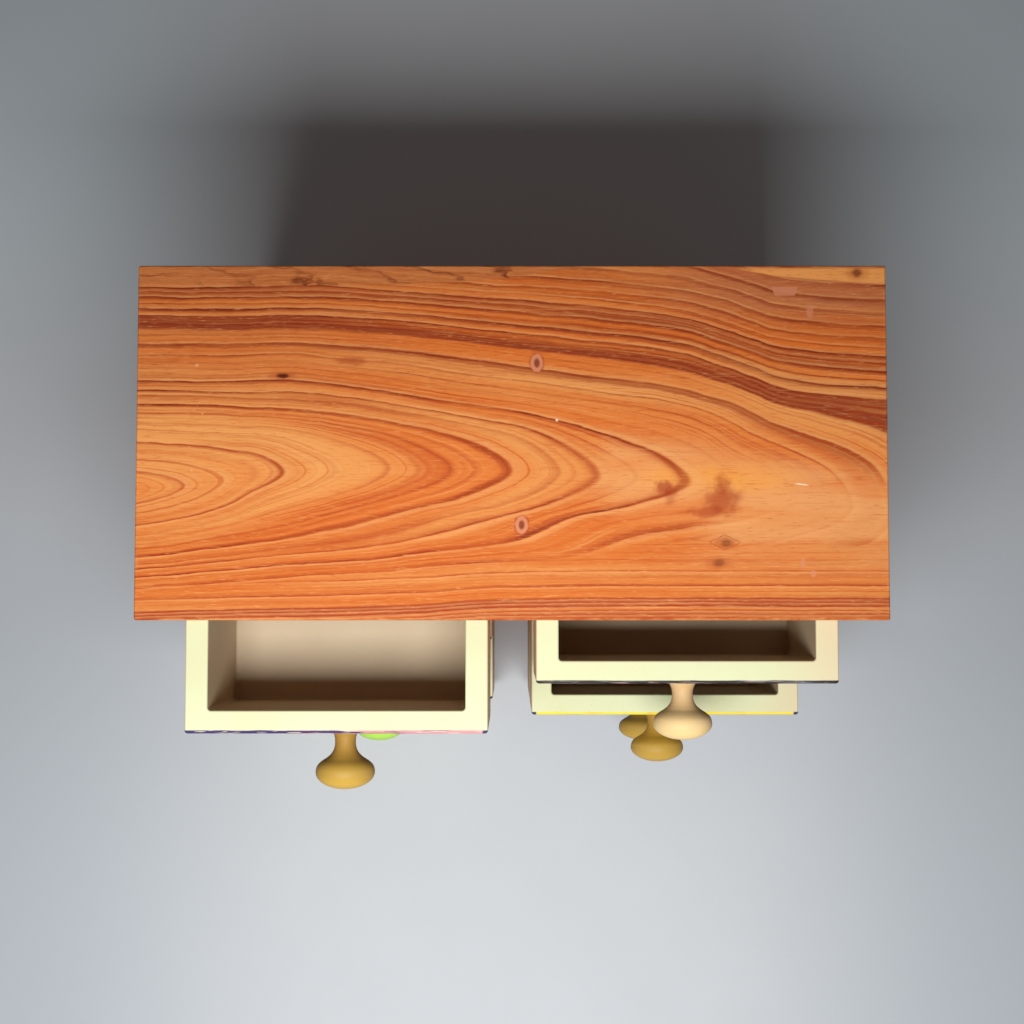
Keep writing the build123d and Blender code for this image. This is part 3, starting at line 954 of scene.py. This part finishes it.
def blossoms(width, height):
    """Five-petalled flowers with leaves between them."""
    for row, v in enumerate((-height * 0.27, height * 0.27)):
        for column in range(5):
            u = width * (column - 2) * 0.195 + (row - 0.5) * 3.0
            tilt = 0.4 * column + 0.7 * row
            for petal in range(5):
                turn = tilt + math.tau * petal / 5
                yield leaf(*polar(u, v, 1.2, turn), turn, 5.1, 3.6, 1.5), PINK
            yield dot(u, v, 1.15), MUSTARD
            for side in (-1, 1):
                turn = math.pi / 2 + side * 1.15 + math.pi * (row == 0)
                yield leaf(*polar(u, v, 6.2, turn), turn + side * 0.4, 4.6, 1.7), TURQUOISE
    for column in range(9):
        u = width * (column - 4) * 0.105
        for v in (-1.0, 1.0):
            yield dot(u + 2.6 * v, 2.4 * v, 0.75), CREAM


def sprigs(width, height):
    """Curved stems with leaf pairs, buds and dots, mirrored left and right."""
    for side in (-1, 1):
        for v, bend in ((height * 0.22, 1), (-height * 0.22, -1)):
            for section in range(3):
                u = side * (13.0 + 12.0 * section)
                swing = bend * (-1) ** section
                start = math.pi * 0.22 if swing > 0 else -math.pi * 0.78
                yield bow(u, v - swing * 6.2, 8.6, start, math.pi * 0.56, 0.8), GREY_BLUE
                for pair in (-1, 1):
                    turn = (0.0 if side > 0 else math.pi) + pair * 0.95
                    yield leaf(u, v + swing * 2.2, turn, 5.4, 2.1, 1.2), GREY_BLUE
                yield dot(u + side * 5.8, v + swing * 1.2, 1.35), ROSE
                yield dot(u + side * 1.5, v - swing * 3.6, 0.6), CREAM
                yield dot(u + side * 8.2, v + swing * 5.2, 0.6), CREAM
        for step in range(6):
            yield dot(side * (12.0 + 6.4 * step), 0.0, 0.9), ROSE if step % 2 else CREAM


def scallops(width, height):
    """Rows of fish-scale arcs, each with a smaller arc and a dot inside."""
    pitch = 9.6
    rise = 6.6
    for row in range(-3, 4):
        for column in range(-5, 6):
            u = pitch * (column + 0.5 * (row % 2))
            v = rise * row - 1.6
            yield bow(u, v, 4.3, 0.15, math.pi - 0.3, 1.0), TURQUOISE
            yield bow(u, v, 2.5, 0.2, math.pi - 0.4, 0.7), COBALT
            yield dot(u, v + 0.6, 0.6), MUSTARD


def rosettes(width, height):
    """Four-petalled rosettes on a diamond grid, with dots between them."""
    pitch_u, pitch_v = 12.2, 11.4
    for row in range(-2, 3):
        for column in range(-4, 5):
            u, v = pitch_u * (column + 0.5 * (row % 2)), pitch_v * row
            for petal in range(4):
                turn = math.pi / 4 + math.pi / 2 * petal
                yield leaf(*polar(u, v, 0.9, turn), turn, 4.6, 2.2, 1.2), NAVY
            yield dot(u, v, 0.8), CREAM
            yield dot(u + pitch_u / 2, v, 0.95), TURQUOISE


def leaf_sprays(width, height):
    """Upright sprigs side by side, each under a berry, and a ring of dots round the knob."""
    spacing = 5.4
    for column in (-3, -2, -1, 1, 2, 3):
        u = width * column * 0.127
        foot = -height * 0.36 + (1.6 if column % 2 else 0.0)
        for joint in range(6):
            v = foot + spacing * joint
            yield leaf(u, v, math.pi / 2, spacing - 0.3, 0.8), LEAF_GREEN
            for side in (-1, 1):
                turn = math.pi / 2 - side * 0.8
                colour = LEAF_GREEN if (joint + column) % 2 else TURQUOISE
                yield leaf(u + side * 0.8, v + 1.0, turn, 5.6, 2.3, 1.2), colour
        yield dot(u, foot + spacing * 6 + 1.4, 1.2), MUSTARD
    for step in range(12):
        turn = math.tau * step / 12
        yield dot(*polar(0.0, 0.0, 9.6, turn), 0.8), PINK if step % 2 else MUSTARD


def waves(width, height):
    """Rolling waves in rows, with dots under their crests."""
    pitch = 9.2
    rise = 10.4
    for row in range(-2, 3):
        for column in range(-5, 6):
            u = pitch * (column + 0.5 * (row % 2))
            v = rise * row
            yield bow(u, v - 2.0, 5.0, math.pi * 0.16, math.pi * 0.68, 1.2), CREAM
            yield bow(u, v - 4.6, 5.0, math.pi * 0.22, math.pi * 0.56, 0.7), TURQUOISE
            yield dot(u + pitch / 2, v + 3.6, 0.9), MUSTARD


MOTIFS = {"top_left": blossoms, "top_right": sprigs, "middle_left": scallops, "middle_right": rosettes,
          "lower_left": leaf_sprays, "lower_right": waves}
# Bare margin round the strokes, how deep a stroke reaches into the glaze, and the width of its soft edge
FRONT_MARGIN = 3.4
STROKE_SINK = 0.06
STROKE_BEVEL = 0.22


class CHEST_OT_brushwork(Operator):
    """Lay raised brush strokes on the six fronts, clear of the knobs and the borders."""
    bl_idname = "chest.brushwork"
    bl_label = "Brushwork"

    def execute(self, context):
        glaze = context.scene.chest_glaze
        for drawer in DRAWERS:
            low, high = box_mm(f"{drawer}_drawer")
            knob_low, knob_high = box_mm(f"{drawer}_knob")
            middle = (low + high) / 2
            knob = (knob_low + knob_high) / 2 - middle
            half_width, half_height = [(high - low)[axis] / 2 - FRONT_MARGIN for axis in (0, 2)]
            bare = glaze.knob_clearance * MM_PER_M
            mesh = bpy.data.meshes.new(f"{drawer}_brushwork")
            shape = bmesh.new()
            colours = []
            for outline, colour in MOTIFS[drawer]((high - low).x, (high - low).z):
                inside = all(abs(u) < half_width and abs(v) < half_height for u, v in outline(0))
                clear = all(math.hypot(u - knob.x, v - knob.z) > bare for u, v in outline(0))
                if not (inside and clear):
                    continue
                if colour not in colours:
                    colours.append(colour)
                    mesh.materials.append(enamel(f"{drawer}_enamel_{len(colours)}", colour, glaze))
                self.add_stroke(shape, outline, (middle.x, low.y, middle.z), colours.index(colour), glaze)
            shape.to_mesh(mesh)
            shape.free()
            piece = bpy.data.objects.new(f"{drawer}_brushwork", mesh)
            context.scene.collection.objects.link(piece)
            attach(piece, drawer)
        return {"FINISHED"}

    def add_stroke(self, shape, outline, origin, colour, glaze):
        """One closed, soft-edged stroke that stands on the glaze."""
        height = glaze.stroke_height * MM_PER_M
        rings = []
        for inset, rise in ((0.0, -STROKE_SINK), (0.0, height * 0.55), (STROKE_BEVEL, height)):
            places = [(origin[0] + u, origin[1] - rise, origin[2] + v) for u, v in outline(inset)]
            rings.append([shape.verts.new(Vector(place) / MM_PER_M) for place in places])
        faces = [shape.faces.new(rings[0][::-1]), shape.faces.new(rings[-1])]
        for lower, upper in zip(rings, rings[1:]):
            for index in range(len(lower)):
                after = (index + 1) % len(lower)
                faces.append(shape.faces.new((lower[index], lower[after], upper[after], upper[index])))
        for face in faces:
            face.material_index = colour


# Stage

# The floor's reach to each side and its drop below the chest (metres), the painted shade and painted light on
# it beside the chest, and the tints of the light
FLOOR_REACH = 3.0
FLOOR_DROP = 0.0003
FLOOR_PAINTED_SHADE = paint(194, 201, 207)
FLOOR_PAINTED_LIGHT = paint(218, 231, 237)
KEY_TINT = (0.99, 0.995, 1.0)
FILL_TINT = (1.0, 0.90, 0.88, 1.0)


class CHEST_OT_stage(Operator):
    """Set the chest on a plain floor under one soft light and aim the camera down at it."""
    bl_idname = "chest.stage"
    bl_label = "Floor, light and camera"

    def execute(self, context):
        scene = context.scene
        for step in (self.lay_floor, self.hang_light, self.set_fill, self.aim_camera):
            step(scene, scene.chest_stage)
        scene.view_settings.view_transform = "Standard"
        return {"FINISHED"}

    def lay_floor(self, scene, stage):
        """Plain floor, with painted shade beside the front and painted light behind at both sides of the
        chest.
        """
        mesh = bpy.data.meshes.new("floor")
        shape = bmesh.new()
        bmesh.ops.create_grid(shape, x_segments=1, y_segments=1, size=FLOOR_REACH)
        bmesh.ops.translate(shape, verts=shape.verts, vec=(0, 0, -FLOOR_DROP))
        shape.to_mesh(mesh)
        shape.free()
        floor = bpy.data.objects.new("floor", mesh)
        scene.collection.objects.link(floor)
        finish = Finish("floor")
        darker = [value * 0.97 for value in stage.floor]
        colour = finish.blend(finish.clouds(0.02, detail=4.0).step(-0.7, 0.7), stage.floor, darker)
        # Painted shade and painted light on the floor at both sides of the chest: darker in front, paler
        # behind
        painted_sides = finish.x.size().step(90.0, 220.0)
        ahead = 1.0 - finish.y.step(-90.0, 60.0)
        colour = finish.blend(painted_sides * ahead, colour, FLOOR_PAINTED_SHADE)
        colour = finish.blend(painted_sides * finish.y.step(20.0, 170.0), colour, FLOOR_PAINTED_LIGHT)
        mesh.materials.append(finish.surface(colour, 0.8, specular=0.2))
        floor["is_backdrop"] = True

    def hang_light(self, scene, stage):
        """One soft light over the front of the chest."""
        key_data = bpy.data.lights.new("key", "AREA")
        key_data.shape = "RECTANGLE"
        key_data.size = stage.key_width
        key_data.size_y = stage.key_length
        key_data.spread = stage.key_spread
        key_data.energy = stage.key_power
        key_data.color = KEY_TINT
        key = bpy.data.objects.new("key", key_data)
        key.location = stage.key_place
        aim = Vector(stage.key_target) - key.location
        key.rotation_euler = aim.to_track_quat("-Z", "Y").to_euler()
        scene.collection.objects.link(key)

    def set_fill(self, scene, stage):
        """Weak light from all round."""
        world = bpy.data.worlds.new("fill")
        world.use_nodes = True
        background = world.node_tree.nodes["Background"]
        background.inputs["Color"].default_value = FILL_TINT
        background.inputs["Strength"].default_value = stage.fill
        scene.world = world

    def aim_camera(self, scene, stage):
        """Camera over the front edge, looking almost straight down."""
        top = CAD_BOX[1][2]
        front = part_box("top_board")[0][1]
        camera_data = bpy.data.cameras.new("camera")
        camera_data.lens = stage.lens
        camera = bpy.data.objects.new("camera", camera_data)
        camera.location = (0, front + stage.camera_behind_front, top + stage.camera_over_top)
        camera.rotation_euler = (stage.tilt, 0, 0)
        scene.collection.objects.link(camera)
        scene.camera = camera


class CHEST_PT_panel(Panel):
    """Lists the pieces of the chest and their settings."""
    bl_idname = "CHEST_PT_panel"
    bl_label = "Drawer chest"
    bl_space_type = "VIEW_3D"
    bl_region_type = "UI"
    bl_category = "Chest"

    def draw(self, context):
        for operator in OPERATORS:
            self.layout.operator(operator.bl_idname)
        for name, group in SETTINGS.items():
            for field in group.__annotations__:
                self.layout.prop(getattr(context.scene, name), field)


SETTINGS = {"chest_wood": CHEST_PG_wood, "chest_glaze": CHEST_PG_glaze, "chest_stage": CHEST_PG_stage}
OPERATORS = (CHEST_OT_top_board, CHEST_OT_carcass, CHEST_OT_back, CHEST_OT_drawers, CHEST_OT_knobs,
             CHEST_OT_brushwork, CHEST_OT_stage)


def register():
    for group in (*SETTINGS.values(), *OPERATORS, CHEST_PT_panel):
        bpy.utils.register_class(group)
    for name, group in SETTINGS.items():
        setattr(bpy.types.Scene, name, PointerProperty(type=group))


def unregister():
    for name in SETTINGS:
        delattr(bpy.types.Scene, name)
    for group in (CHEST_PT_panel, *reversed(OPERATORS), *reversed(SETTINGS.values())):
        bpy.utils.unregister_class(group)


def main():
    """Finish every piece."""
    register()
    bpy.ops.chest.top_board()
    bpy.ops.chest.carcass()
    bpy.ops.chest.back()
    bpy.ops.chest.drawers()
    bpy.ops.chest.knobs()
    bpy.ops.chest.brushwork()
    bpy.ops.chest.stage()
    boxes = {"cad": CAD_BOX, "visual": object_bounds()}
    plain = {name: [[float(value) for value in corner] for corner in box] for name, box in boxes.items()}


if __name__ == "__main__":
    main()
